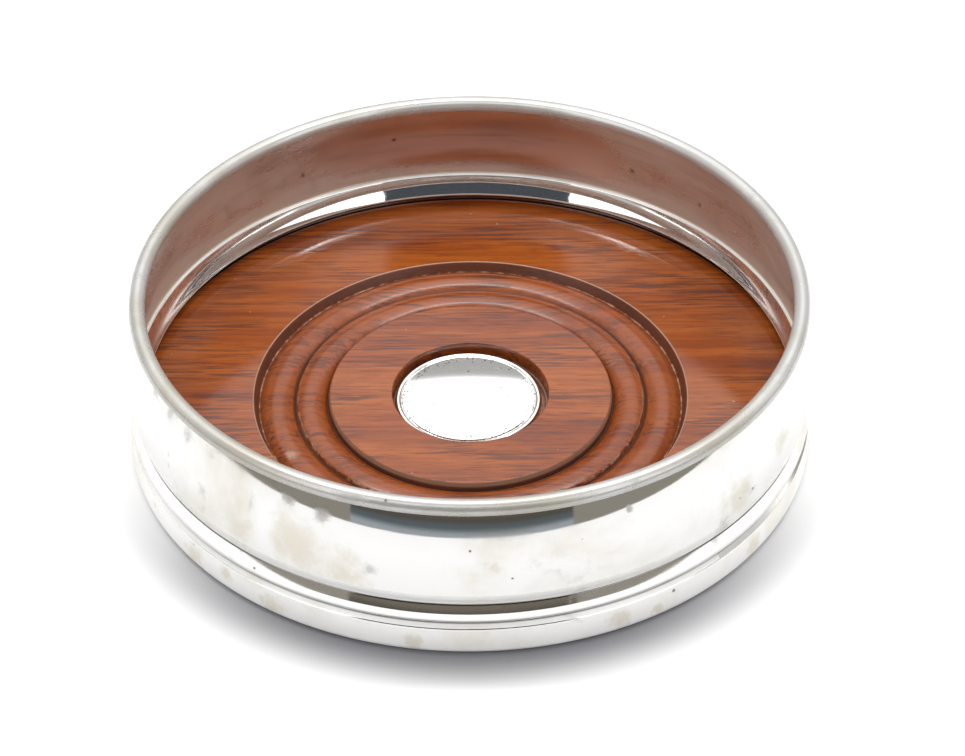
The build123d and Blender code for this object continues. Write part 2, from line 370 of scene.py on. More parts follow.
def hand_work(piece, size, depth):
    """Moves the active piece's surface a little to and fro, as hand work leaves it."""
    for axis, strength in (("X", depth), ("Y", -depth)):
        clouds = bpy.data.textures.new(f"{piece.name}_hollows_{axis}", "CLOUDS")
        clouds.noise_scale = size
        bpy.ops.object.modifier_add(type="DISPLACE")
        hollows = piece.modifiers[-1]
        hollows.texture = clouds
        hollows.texture_coords = "LOCAL"
        hollows.direction = axis
        hollows.strength = strength
        bpy.ops.object.modifier_apply(modifier=hollows.name)


def settle(piece, node, slot, *materials):
    """Shades the piece, gives it its finish, and lets it stand for a node of the frame."""
    bpy.ops.object.shade_smooth_by_angle(angle=SHARP_ANGLE)
    bpy.ops.object.modifier_add(type="WEIGHTED_NORMAL")
    piece.modifiers[-1].keep_sharp = True
    bpy.ops.object.modifier_apply(modifier=piece.modifiers[-1].name)
    for material in materials:
        piece.data.materials.append(material)
    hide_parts(node)
    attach(piece, BODY)


def opaque(rgb, tone=1.0):
    """A colour for a shader socket, made darker or paler by its tone."""
    return (*(tone * c for c in rgb), 1.0)


class Nodes:
    """A node tree that grows by plain calls, most of which give a socket."""

    def __init__(self, tree):
        self.tree = tree

    def put(self, value, socket):
        """Links a result to a socket, or sets a constant on it."""
        if isinstance(value, NodeSocket):
            self.tree.links.new(value, socket)
        else:
            socket.default_value = value

    def add(self, kind, inputs=None, **options):
        """Adds a node, sets its options and fills its inputs; gives its outputs."""
        made = self.tree.nodes.new(kind)
        for option, value in options.items():
            setattr(made, option, value)
        for key, value in (inputs or {}).items():
            self.put(value, made.inputs[key])
        return made.outputs

    def maths(self, operation, *values):
        return self.add("ShaderNodeMath", dict(enumerate(values)), operation=operation)[0]

    def plus(self, first, second):
        return self.maths("ADD", first, second)

    def times(self, first, second):
        return self.maths("MULTIPLY", first, second)

    def most(self, first, second):
        return self.maths("MAXIMUM", first, second)

    def ramp(self, value, low, high, bottom=0.0, top=1.0):
        """A value's smooth rise from bottom to top between two limits."""
        inputs = dict(enumerate((value, low, high, bottom, top)))
        return self.add("ShaderNodeMapRange", inputs, interpolation_type="SMOOTHSTEP")[0]

    def blend(self, factor, first, second):
        """One colour laid over another by a mask, with the mix node's colour sockets 6, 7 and 2."""
        return self.add("ShaderNodeMix", {0: factor, 6: first, 7: second}, data_type="RGBA")[2]

    def axes(self, place):
        """The X, Y and Z of a place."""
        return self.add("ShaderNodeSeparateXYZ", {0: place})

    def from_axis(self, place):
        """The distance of a place from the upright axis."""
        x, y, _ = self.axes(place)
        return self.maths("SQRT", self.plus(self.maths("POWER", x, 2.0), self.maths("POWER", y, 2.0)))

    def group(self, name, **inputs):
        """Places a shared effect, which is built at its first use, and gives its results."""
        shared = bpy.data.node_groups.get(name) or shared_effect(name)
        return self.add("ShaderNodeGroup", inputs, node_tree=shared)


class Finish(Nodes):
    """A new material, with the shared effects laid out on its object coordinates."""

    def __init__(self, name):
        self.material = bpy.data.materials.new(name)
        self.material.use_nodes = True
        super().__init__(self.material.node_tree)
        self.inputs = self.tree.nodes["Principled BSDF"].inputs
        self.place = self.add("ShaderNodeTexCoord")["Object"]

    def shade(self, socket, value):
        """Links or sets an input of the shader."""
        self.put(value, self.inputs[socket])

    def stain(self, base, mask, rgb, share):
        """Lays a colour over another by a share of a mask."""
        return self.blend(self.times(mask, share), base, opaque(rgb))

    def roughen(self, rough, *parts):
        """Sets the roughness from a base value and shares of masks."""
        for mask, share in parts:
            rough = self.plus(rough, self.times(mask, share))
        self.shade("Roughness", rough)

    def bump(self, strength, distance, height):
        inputs = {"Strength": strength, "Distance": distance, "Height": height}
        self.shade("Normal", self.add("ShaderNodeBump", inputs)[0])

    def effect(self, name, **inputs):
        return self.group(name, Vector=self.place, **inputs)

    def patches(self, scale, edge, softness):
        return self.effect("Cloudy Patches", Scale=scale, Edge=edge, Softness=softness)["Mask"]

    def specks(self, scale, size, share):
        return self.effect("Scattered Specks", Scale=scale, Size=size, Share=share)["Mask"]

    def streaks(self, along, edge, softness):
        return self.effect("Drawn Streaks", Along=along, Edge=edge, Softness=softness)

    def line(self, radius, width):
        return self.effect("Turned Line", Radius=radius, Width=width)["Mask"]

    def grime_and_shade(self, radius, height, reach):
        return self.effect("Grime And Shade Ring", Radius=radius, Height=height, Reach=reach)["Mask"]

    def worn(self, spots):
        """The worn places, each given by azimuth, radius, height and reach."""
        mask = 0.0
        for azimuth, radius, height, reach in spots:
            turned = radians(azimuth)
            centre = Vector((radius * sin(turned), -radius * cos(turned), height)) * MM
            scale = RAGGEDNESS / (reach * MM)
            spot = self.effect("Worn Place", Centre=centre, Reach=reach * MM, Scale=scale)
            mask = self.most(mask, spot["Mask"])
        return mask


def cloudy_patches(nodes, given):
    """Cloudy patches, such as tarnish, bloom and uneven colour."""
    noise = {"Vector": given["Vector"], "Scale": given["Scale"], "Detail": 6.0, "Roughness": 0.62}
    cloud = nodes.add("ShaderNodeTexNoise", {**noise, "Distortion": 0.5})["Fac"]
    return {"Mask": nodes.ramp(cloud, given["Edge"], nodes.plus(given["Edge"], given["Softness"]))}


def scattered_specks(nodes, given):
    """Scattered small dots, such as pits, dust and dried splashes."""
    layout = {"Vector": given["Vector"], "Scale": given["Scale"], "Randomness": 1.0}
    cells = nodes.add("ShaderNodeTexVoronoi", layout)
    chance = nodes.add("ShaderNodeSeparateColor", {0: cells["Color"]})
    reach = nodes.times(given["Size"], chance[1])
    dot = nodes.ramp(cells["Distance"], nodes.times(reach, 0.5), reach, *FALLING)
    return {"Mask": nodes.times(dot, nodes.maths("LESS_THAN", chance[0], given["Share"]))}


def drawn_streaks(nodes, given):
    """Fine lines drawn out along one direction, such as scratches and wood pores."""
    spread = {0: given["Vector"], 1: given["Along"]}
    drawn = nodes.add("ShaderNodeVectorMath", spread, operation="MULTIPLY")[0]
    noise = {"Vector": drawn, "Scale": 1.0, "Detail": 4.0, "Roughness": 0.6, "Distortion": 0.2}
    lines = nodes.add("ShaderNodeTexNoise", noise)["Fac"]
    mask = nodes.ramp(lines, given["Edge"], nodes.plus(given["Edge"], given["Softness"]))
    return {"Mask": mask, "Height": lines}


def worn_place(nodes, given):
    """One worn or stained place with a ragged edge."""
    ends = {0: given["Vector"], 1: given["Centre"]}
    gap = nodes.add("ShaderNodeVectorMath", ends, operation="DISTANCE")["Value"]
    away = nodes.maths("DIVIDE", gap, given["Reach"])
    noise = {"Vector": given["Vector"], "Scale": given["Scale"], "Detail": 5.0, "Roughness": 0.65}
    cloud = nodes.add("ShaderNodeTexNoise", noise)["Fac"]
    return {"Mask": nodes.ramp(nodes.plus(away, nodes.times(cloud, 1.6)), 0.85, 1.55, *FALLING)}


def turned_line(nodes, given):
    """A soft line at one radius round the axis, as old polish leaves in turned work."""
    aside = nodes.maths("SUBTRACT", nodes.from_axis(given["Vector"]), given["Radius"])
    core = nodes.times(given["Width"], 0.3)
    return {"Mask": nodes.ramp(nodes.maths("ABSOLUTE", aside), core, given["Width"], *FALLING)}


def grime_and_shade_ring(nodes, given):
    """Grime and painted shade round a crevice at one radius and height."""
    aside = nodes.maths("SUBTRACT", nodes.from_axis(given["Vector"]), given["Radius"])
    above = nodes.maths("SUBTRACT", nodes.axes(given["Vector"])[2], given["Height"])
    squares = nodes.plus(nodes.maths("POWER", aside, 2.0), nodes.maths("POWER", above, 2.0))
    core = nodes.times(given["Reach"], 0.6)
    return {"Mask": nodes.ramp(nodes.maths("SQRT", squares), core, given["Reach"], *FALLING)}


# What draws each shared effect, and the inputs it has beside the place
EFFECTS = {
    "Cloudy Patches": (cloudy_patches, {"Scale": 40.0, "Edge": 0.5, "Softness": 0.15}),
    "Scattered Specks": (scattered_specks, {"Scale": 500.0, "Size": 0.2, "Share": 0.05}),
    "Drawn Streaks": (drawn_streaks, {"Along": POLISH_LINES, "Edge": 0.55, "Softness": 0.1}),
    "Worn Place": (worn_place, {"Centre": ORIGIN, "Reach": 10 * MM, "Scale": 300.0}),
    "Turned Line": (turned_line, {"Radius": 30 * MM, "Width": 0.5 * MM}),
    "Grime And Shade Ring": (grime_and_shade_ring, {"Radius": 60 * MM, "Height": 10 * MM, "Reach": 0.5 * MM}),
}


def shared_effect(name):
    """Builds the shader node group of a shared effect, with named sockets."""
    draw, inputs = EFFECTS[name]
    nodes = Nodes(bpy.data.node_groups.new(name, "ShaderNodeTree"))
    sockets = nodes.tree.interface
    for label, default in {"Vector": ORIGIN, **inputs}.items():
        kind = "NodeSocketVector" if isinstance(default, tuple) else "NodeSocketFloat"
        sockets.new_socket(label, in_out="INPUT", socket_type=kind).default_value = default
    results = draw(nodes, nodes.add("NodeGroupInput"))
    output = nodes.tree.nodes.new("NodeGroupOutput")
    for label, value in results.items():
        sockets.new_socket(label, in_out="OUTPUT", socket_type="NodeSocketFloat")
        nodes.put(value, output.inputs[label])
    return nodes.tree


def silver(
    name, tone, gloss, haze=0.10, film_edge=0.50, smudge_edge=0.60, pit_share=0.05,
    milk=0.0, creams=(), greys=(), grooves=(), speckled=None,
):
    """Polished silver with a film of tarnish, grey smudges, black pits and fine scratches, and grime with
    painted shade in its grooves.
    """
    colours = bpy.context.scene.coaster_finishes
    finish = Finish(name)
    film = finish.most(finish.patches(FILM_CLOUDS, film_edge, 0.28), finish.worn(creams))
    smudge = finish.most(finish.patches(SMUDGE_CLOUDS, smudge_edge, 0.16), finish.worn(greys))
    pits = finish.specks(SILVER_PITS, 0.24, pit_share)
    if speckled:
        crowded = finish.ramp(finish.from_axis(finish.place), speckled, BOSS_HIGH.x, 0.01, 1.0)
        pits = finish.most(pits, finish.specks(FINE_PITS, 0.8, crowded))
    # Painted shade and grime: the grooves are darkened with the pits' colour
    for groove in grooves:
        pits = finish.most(pits, finish.grime_and_shade(*groove))
    lines = finish.streaks(POLISH_LINES, 0.6, 0.2)
    clean = finish.blend(film, opaque(colours.silver, tone), opaque(colours.film, tone))
    grey = finish.stain(clean, smudge, colours.smudge, 0.7)
    finish.shade("Base Color", finish.stain(grey, pits, colours.pit_and_shade, 0.85))
    finish.roughen(gloss, (film, haze), (smudge, 0.18), (lines["Mask"], 0.05))
    finish.shade("Metallic", 1.0 - milk)
    finish.bump(0.05, 0.02 * MM, lines["Height"])
    return finish.material


def hazy_silver(name, ridge, sizes):
    """Silver inside the wall, with a grey-beige haze on its ridge and under the rim, and the same haze laid
    thicker towards its left and right sides as a painted sheen.
    """
    colours = bpy.context.scene.coaster_finishes
    finish = Finish(name)
    x, _, height = finish.axes(finish.place)
    cloud = finish.streaks(HAZE_CLOUDS, 0.2, 0.7)["Mask"]
    fine = finish.streaks(HAZE_LINES, 0.4, 0.35)
    # Painted sheen: the haze grows towards the wall's left and right sides, making them paler
    side = finish.ramp(finish.maths("ABSOLUTE", x), sizes.side_sheen_start, sizes.side_sheen_end, 0.08, 0.85)
    edge = finish.ramp(height, WALL_HIGH.z - sizes.haze_edge, WALL_HIGH.z, 0.0, 0.35)
    rubbed = finish.ramp(height, ridge, ridge + sizes.haze_reach, 0.8, 0.0)
    haze_and_side_sheen = finish.times(finish.plus(side, edge), finish.plus(cloud, 0.25))
    haze_and_side_sheen = finish.plus(haze_and_side_sheen, finish.times(rubbed, finish.plus(cloud, 0.4)))
    haze_and_side_sheen = finish.maths("MINIMUM", haze_and_side_sheen, 0.85)
    polished = finish.blend(fine["Mask"], opaque(colours.silver, 0.80), opaque(colours.silver, 0.58))
    hazed_and_sheened = finish.blend(haze_and_side_sheen, polished, opaque(colours.dust_and_highlight))
    stains = finish.times(finish.patches(STAIN_CLOUDS, 0.56, 0.32), 0.55)
    stains = finish.most(stains, finish.worn(INNER_SPOTS))
    stained = finish.stain(hazed_and_sheened, stains, colours.pit_and_shade, 0.75)
    pits = finish.specks(INNER_PITS, 0.22, 0.05)
    finish.shade("Base Color", finish.stain(stained, pits, colours.pit_and_shade, 0.8))
    finish.shade("Metallic", finish.ramp(haze_and_side_sheen, 0.0, 1.0, 1.0, 0.35))
    finish.roughen(0.12, (haze_and_side_sheen, 0.35), (fine["Mask"], 0.06))
    finish.bump(0.08, 0.03 * MM, fine["Height"])
    return finish.material


def varnished_wood(sizes):
    """Glossy red-brown hardwood with its grain along X, old polish in the turned lines, painted shade in
    the groove and its crevices, and painted highlights on its edges.
    """
    colours = bpy.context.scene.coaster_finishes
    finish = Finish("varnished_wood")
    radius = finish.from_axis(finish.place)
    disc = sizes.disc_radius
    disc_foot = disc + sizes.disc_step
    groove = sizes.groove_radius
    slope = groove - sizes.groove_slope / 2
    recess = BOSS_HIGH.x + sizes.recess_gap
    bands = finish.streaks(WOOD_BANDS, 0.38, 0.3)["Mask"]
    streaks = finish.streaks(WOOD_STREAKS, 0.45, 0.13)["Mask"]
    clusters = finish.streaks(STREAK_CLUSTERS, 0.4, 0.22)["Mask"]
    pores = finish.streaks(WOOD_PORES, 0.56, 0.1)["Mask"]
    beyond_disc = finish.ramp(radius, disc, disc_foot)
    turned = finish.times(beyond_disc, finish.ramp(radius, slope, groove, *FALLING))
    # Painted shade: the whole turned groove is mixed towards the deep wood colour, besides the real bands
    deep_bands_and_groove_shade = finish.most(bands, finish.times(turned, 0.6))
    body = finish.blend(deep_bands_and_groove_shade, opaque(colours.wood_light), opaque(colours.wood_deep_and_shade))
    dark = finish.times(streaks, finish.plus(finish.times(clusters, 0.75), 0.25))
    streaked = finish.stain(body, dark, colours.wood_streak, 0.85)
    pored = finish.stain(streaked, pores, colours.wood_streak, 0.45)
    # Painted shade and old polish: the wood darkens along the groove's outer slope and in the crevices
    dirt_and_shade_mask = finish.line(slope, SLOPE_DIRT_AND_SHADE)
    for crevice in (disc_foot, sizes.valley_radius + sizes.quirk_width, recess):
        dirt_and_shade_mask = finish.most(dirt_and_shade_mask, finish.line(crevice, CREVICE_DIRT_AND_SHADE))
    soiled_and_shaded = finish.stain(pored, dirt_and_shade_mask, colours.dirt_and_shade, 0.75)
    quirk_line = finish.line(sizes.valley_radius - sizes.quirk_width, PALE_LINE)
    foot_line = finish.line(groove - sizes.groove_slope, PALE_LINE)
    crumbs = finish.patches(POLISH_CRUMBS, 0.44, 0.2)
    caked = finish.times(finish.most(quirk_line, foot_line), crumbs)
    lined = finish.stain(soiled_and_shaded, caked, colours.residue_and_highlight, 0.75)
    dust_and_highlight = finish.most(finish.specks(WOOD_DUST, 0.16, 0.06), finish.worn(WOOD_SCUFFS))
    # Painted highlights: pale lines along the arrises of the groove, the disc and the recess, laid with the
    # dust specks and scuffs
    for arris in (groove, disc, recess):
        dust_and_highlight = finish.most(dust_and_highlight, finish.line(arris + ARRIS_SHIFT, ARRIS_HIGHLIGHT))
    finish.shade("Base Color", finish.stain(lined, dust_and_highlight, colours.residue_and_highlight, 0.5))
    bloom = finish.patches(VARNISH_BLOOM, 0.45, 0.3)
    finish.roughen(0.12, (bloom, 0.05), (dirt_and_shade_mask, 0.2), (turned, 0.08))
    finish.bump(0.12, 0.05 * MM, finish.maths("SUBTRACT", 1.0, pores))
    return finish.material


def plain_brass():
    """Brass of the hidden washer and pins, a little dulled."""
    colours = bpy.context.scene.coaster_finishes
    finish = Finish("plain_brass")
    dull = finish.patches(BRASS_CLOUDS, 0.4, 0.3)
    finish.shade("Base Color", finish.stain(opaque(colours.brass), dull, colours.pit_and_shade, 0.5))
    finish.roughen(0.28, (dull, 0.2))
    finish.shade("Metallic", 1.0)
    return finish.material


def green_baize():
    """Milled wool cloth: matted fibres, uneven dye and a little lint."""
    colours = bpy.context.scene.coaster_finishes
    finish = Finish("green_baize")
    uneven = finish.patches(DYE_CLOUDS, 0.3, 0.5)
    weft = finish.streaks(CLOTH_WEFT, 0.42, 0.3)
    warp = finish.streaks(CLOTH_WARP, 0.5, 0.3)
    lint = finish.specks(CLOTH_LINT, 0.1, 0.05)
    dyed = finish.blend(uneven, opaque(colours.baize), opaque(colours.baize, 0.55))
    matted = finish.blend(finish.times(weft["Mask"], 0.5), dyed, opaque(colours.baize, 1.9))
    finish.shade("Base Color", finish.stain(matted, lint, colours.residue_and_highlight, 0.4))
    finish.shade("Roughness", 0.95)
    finish.shade("Sheen Weight", 0.4)
    finish.shade("Sheen Roughness", 0.5)
    finish.bump(0.7, 0.15 * MM, finish.plus(weft["Height"], warp["Height"]))
    return finish.material


def bead_crevice(foot):
    """Radius, height and reach of the grime and painted shade between the bead's top and the wall."""
    return BEAD_HIGH.x - foot.face_inset, BEAD_HIGH.z, foot.crevice_reach


class COASTER_OT_gallery(Operator):
    """Models the bellied silver wall and the wire round its mouth"""

    bl_idname = "coaster.gallery"
    bl_label = "Silver Gallery"

    def execute(self, context):
        sizes = context.scene.coaster_gallery
        self.wall(sizes, context.scene.coaster_foot)
        self.rim(sizes)
        return {"FINISHED"}

    def wall(self, sizes, foot):
        belly = WALL_HIGH.x
        inside = belly - sizes.sheet
        belly_top = WALL_HIGH.z - sizes.shoulder_height
        belly_bottom = belly_top - sizes.belly_height
        shoulder_x = belly - sizes.shoulder_radius
        inner_radius = sizes.shoulder_radius - sizes.sheet
        rise = asin(sizes.shoulder_height / sizes.shoulder_radius)
        inner_rise = asin(sizes.shoulder_height / inner_radius)
        turned = sizes.turn_angle
        turn_x = belly - sizes.turn_radius
        lip_top_x = turn_x + sizes.turn_radius * cos(turned)
        lip_top_z = belly_bottom - sizes.turn_radius * sin(turned)
        lip_x = lip_top_x - (lip_top_z - WALL_LOW.z) * tan(turned)
        ridge = belly_bottom + sizes.ridge_rise
        edge = WALL_LOW.z + sizes.lip_edge
        section = Profile("silver_wall", lip_x, WALL_LOW.z)
        section.line(lip_top_x, lip_top_z)
        section.arc(turn_x, belly_bottom, turned)
        section.line(belly, belly_top)
        section.arc(shoulder_x, belly_top, rise)
        section.line(shoulder_x + inner_radius * cos(inner_rise), WALL_HIGH.z)
        section.arc(shoulder_x, belly_top, -inner_rise)
        section.line(inside, ridge)
        section.arc(inside, ridge - sizes.ridge_round, pi / 2 - sizes.ridge_angle)
        outward = Vector((cos(sizes.ridge_angle), 0, -sin(sizes.ridge_angle))) * sizes.lip_radius
        hollow = section.point - outward
        section.arc(hollow.x, hollow.z, sizes.ridge_angle - sizes.lip_angle)
        section.line(section.point.x - (section.point.z - edge) * tan(sizes.lip_angle), edge)
        section.line(section.point.x, edge - sizes.lip_nose)
        section.line(lip_x, WALL_LOW.z)
        piece = soften(section.spin(), sizes.sheet / 3)
        hand_work(piece, sizes.dent_size, sizes.dent_depth)
        settle(
            piece,
            "gallery_wall",
            "silver",
            silver(
                "silver_outside", tone=0.84, gloss=0.05, film_edge=0.48,
                creams=CREAM_SPOTS, greys=GREY_SPOTS,
            ),
            hazy_silver("silver_inside", ridge, sizes),
            silver(
                "silver_lip", tone=0.93, gloss=0.04, haze=0.05, film_edge=0.55, smudge_edge=0.62,
                pit_share=0.03, milk=0.04,
            ),
            silver(
                "silver_satin", tone=0.92, gloss=0.30, film_edge=0.45, milk=0.65,
                grooves=[bead_crevice(foot)],
            ),
        )
        outer_finish, inner_finish, lip_finish, satin_finish = range(4)
        satin_ridge = ridge - sizes.ridge_round / 2
        for face in piece.data.polygons:
            inward = face.normal.x * face.center.x + face.normal.y * face.center.y < 0
            height = face.center.z
            if not inward:
                face.material_index = satin_finish if height < belly_bottom else outer_finish
            elif height > ridge + MERGE_GAP:
                face.material_index = inner_finish
            elif height > satin_ridge or edge - sizes.lip_nose < height < edge:
                face.material_index = satin_finish
            else:
                face.material_index = lip_finish

    def rim(self, sizes):
        wire_x = RIM_HIGH.x - sizes.wire_radius
        wire_z = RIM_HIGH.z - sizes.wire_radius
        seat = asin((wire_z - RIM_LOW.z) / sizes.wire_radius)
        seat_edge = wire_x + sizes.wire_radius * cos(seat)
        section = Profile("silver_rim", seat_edge, RIM_LOW.z)
        section.arc(wire_x, wire_z, pi + 2 * seat)
        section.line(seat_edge, RIM_LOW.z)
        piece = section.spin()
        hand_work(piece, sizes.dent_size, sizes.dent_depth)
        worn = silver(
            "silver_rim", tone=0.60, gloss=0.22, haze=0.08, film_edge=0.38, smudge_edge=0.55, milk=0.6
        )
        settle(piece, "rim_wire", "silver", worn)


class COASTER_OT_foot(Operator):
    """Models the bead and the band under the wall"""

    bl_idname = "coaster.foot"
    bl_label = "Silver Foot"

    def execute(self, context):
        sizes = context.scene.coaster_foot
        inner = WOOD_HIGH.x + sizes.fit
        groove = inner + sizes.strip
        # Grime and painted shade in the groove between the bead and the band
        grime_and_shade = (groove, BEAD_LOW.z, sizes.grime_and_shade_reach)
        polished = silver(
            "silver_bead", tone=0.93, gloss=0.07, film_edge=0.48, grooves=[grime_and_shade, bead_crevice(sizes)]
        )
        satin = silver(
            "silver_band", tone=1.04, gloss=0.30, film_edge=0.46, smudge_edge=0.62, pit_share=0.06,
            milk=0.9, creams=FOOT_SPOTS, grooves=[grime_and_shade],
        )
        self.bead(sizes, inner, groove, context.scene.coaster_gallery.turn_angle, polished)
        self.band(sizes, inner, groove, satin, polished)
        return {"FINISHED"}

    def bead(self, sizes, inner, groove, wall_slope, finish):
        section = Profile("silver_bead", BEAD_HIGH.x - sizes.face_inset, BEAD_HIGH.z)
        top = section.point
        for radius, first, last in (
            (sizes.crown_radius, sizes.crown_angle, sizes.face_angle),
            (sizes.face_radius, sizes.face_angle, sizes.side_angle),
            (sizes.side_radius, sizes.side_angle, 0.0),
        ):
            middle = section.point - Vector((cos(first), 0, sin(first))) * radius
            section.arc(middle.x, middle.z, last - first)
        widest = section.point
        depth = widest.x - groove
        drop = widest.z - BEAD_LOW.z
        under = (depth * depth + drop * drop) / (2 * depth)
        section.arc(widest.x - under, widest.z, -atan2(drop, under - depth))
        section.line(inner, BEAD_LOW.z)
        section.line(inner, top.z - (top.x - inner) / tan(wall_slope))
        section.line(top.x, top.z)
        settle(section.spin(), "foot_bead", "silver", finish)

    def band(self, sizes, inner, groove, satin, polished):
        outer = BAND_HIGH.x
        widest = BAND_LOW.z + sizes.foot_round
        edge = Vector((outer - sizes.band_bulge, 0, BAND_HIGH.z - sizes.ledge_drop))
        rise = edge.z - widest
        bulge = (rise * rise + sizes.band_bulge * sizes.band_bulge) / (2 * sizes.band_bulge)
        lean = asin(rise / bulge)
        slope = atan2(edge.x - groove, sizes.ledge_drop)
        reach = sizes.ledge_round * tan((slope - lean) / 2)
        start = edge - Vector((sin(slope), 0, -cos(slope))) * reach
        centre = start - Vector((cos(slope), 0, sin(slope))) * sizes.ledge_round
        flange = inner - sizes.flange_width
        flange_top = WOOD_LOW.z + sizes.flange_thickness
        section = Profile("silver_band", inner, BAND_HIGH.z)
        section.line(groove, BAND_HIGH.z)
        section.line(start.x, start.z)
        section.arc(centre.x, centre.z, lean - slope)
        section.arc(outer - bulge, widest, -asin((section.point.z - widest) / bulge))
        section.arc(outer - sizes.foot_round, widest, -pi / 2)
        section.line(inner, BAND_LOW.z)
        section.line(inner, WOOD_LOW.z)
        section.line(flange, WOOD_LOW.z)
        section.line(flange, flange_top)
        section.line(inner, flange_top)
        section.line(inner, BAND_HIGH.z)
        piece = section.spin()
        settle(piece, "foot_band", "silver", satin, polished)
        for face in piece.data.polygons:
            if face.center.z > centre.z and sin(lean) < face.normal.z < sin(slope):
                face.material_index = 1


class COASTER_OT_wood(Operator):
    """Models the turned wooden base"""

    bl_idname = "coaster.wood"
    bl_label = "Turned Wood"

    def execute(self, context):
        sizes = context.scene.coaster_wood
        foot = context.scene.coaster_foot
        top = WOOD_HIGH.z
        floor = top - sizes.groove_depth
        recess = (BOSS_HIGH.x - BOSS_LOW.x) / 2 + sizes.recess_gap
        rebate = WOOD_HIGH.x + foot.fit - foot.flange_width - sizes.rebate_gap
        rebate_top = WOOD_LOW.z + foot.flange_thickness
        section = Profile("turned_wood", 0, BOSS_LOW.z)
        section.line(recess, BOSS_LOW.z)
        section.line(recess, top)
        section.line(sizes.disc_radius, top)
        section.line(sizes.disc_radius + sizes.disc_step, floor)
        section.bow(sizes.valley_radius - sizes.quirk_width, floor + sizes.quirk_rise, sizes.reed_radius)
        section.line(sizes.valley_radius, floor)
        section.bow(sizes.groove_radius - sizes.groove_slope, floor, sizes.reed_radius)
        section.line(sizes.groove_radius, top)
        section.line(WOOD_HIGH.x, top)
        section.line(WOOD_HIGH.x, rebate_top)
        section.line(rebate, rebate_top)
        section.line(rebate, WOOD_LOW.z)
        section.line(0, WOOD_LOW.z)
        settle(soften(section.spin(), sizes.arris), "wooden_base", "wood", varnished_wood(sizes))
        return {"FINISHED"}


class COASTER_OT_boss(Operator):
    """Models the domed boss and the half-round wire on its edge"""

    bl_idname = "coaster.boss"
    bl_label = "Silver Boss"

    def execute(self, context):
        sizes = context.scene.coaster_boss
        axis = (BOSS_LOW.x + BOSS_HIGH.x) / 2
        inner = BOSS_HIGH.x - sizes.wire_width
        self.dome(sizes, axis, inner)
        self.wire(sizes, axis, inner)
        return {"FINISHED"}

    def dome(self, sizes, axis, inner):
        edge = inner - sizes.dome_gap - axis
        radius = (edge * edge + sizes.dome_rise * sizes.dome_rise) / (2 * sizes.dome_rise)
        section = Profile("silver_boss", axis, BOSS_HIGH.z)
        section.arc(axis, BOSS_HIGH.z - radius, -asin(edge / radius))
        section.line(inner, RING_LOW.z)
        section.line(BOSS_HIGH.x, RING_LOW.z)
        section.line(BOSS_HIGH.x, BOSS_LOW.z)
        section.line(axis, BOSS_LOW.z)
        pitted = silver(
            "silver_boss", tone=1.0, gloss=0.07, film_edge=0.52, smudge_edge=0.62, pit_share=0.06,
            speckled=sizes.speckled,
        )
        settle(section.spin(axis), "boss_disc", "silver", pitted)

    def wire(self, sizes, axis, inner):
        half = sizes.wire_width / 2
        rise = RING_HIGH.z - RING_LOW.z
        section = Profile("silver_boss_wire", inner, RING_LOW.z)
        section.bow(BOSS_HIGH.x, RING_LOW.z, (half * half + rise * rise) / (2 * rise))
        section.line(inner, RING_LOW.z)
        bright = silver("silver_wire", tone=0.95, gloss=0.10, smudge_edge=0.62, pit_share=0.02)
        settle(section.spin(axis), "boss_rim_wire", "silver", bright)


class COASTER_OT_baize(Operator):
    """Models the cloth pad under the base"""

    bl_idname = "coaster.baize"
    bl_label = "Baize Pad"

    def execute(self, context):
        radius = PAD_HIGH.x
        edge = (PAD_HIGH.z - PAD_LOW.z) / 3
        section = Profile("baize", 0, PAD_HIGH.z)
        section.line(radius - edge, PAD_HIGH.z)
        section.arc(radius - edge, PAD_HIGH.z - edge, -pi / 2)
        section.line(radius, PAD_LOW.z + edge)
        section.arc(radius - edge, PAD_LOW.z + edge, -pi / 2)
        section.line(0, PAD_LOW.z)
        piece = section.spin()
        settle(piece, "baize_pad", "baize", green_baize())
        return {"FINISHED"}


class COASTER_OT_fixings(Operator):
    """Gives the hidden stem, washer and pins their finishes"""

    bl_idname = "coaster.fixings"
    bl_label = "Hidden Fixings"

    def execute(self, context):
        brass = plain_brass()
        stem = silver("silver_stem", tone=0.9, gloss=0.3, film_edge=0.4, smudge_edge=0.5)
        for name, finish in (("base_pins", brass), ("stem_washer", brass), ("boss_stem", stem)):
            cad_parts[name].material_slots[0].material = finish
        return {"FINISHED"}


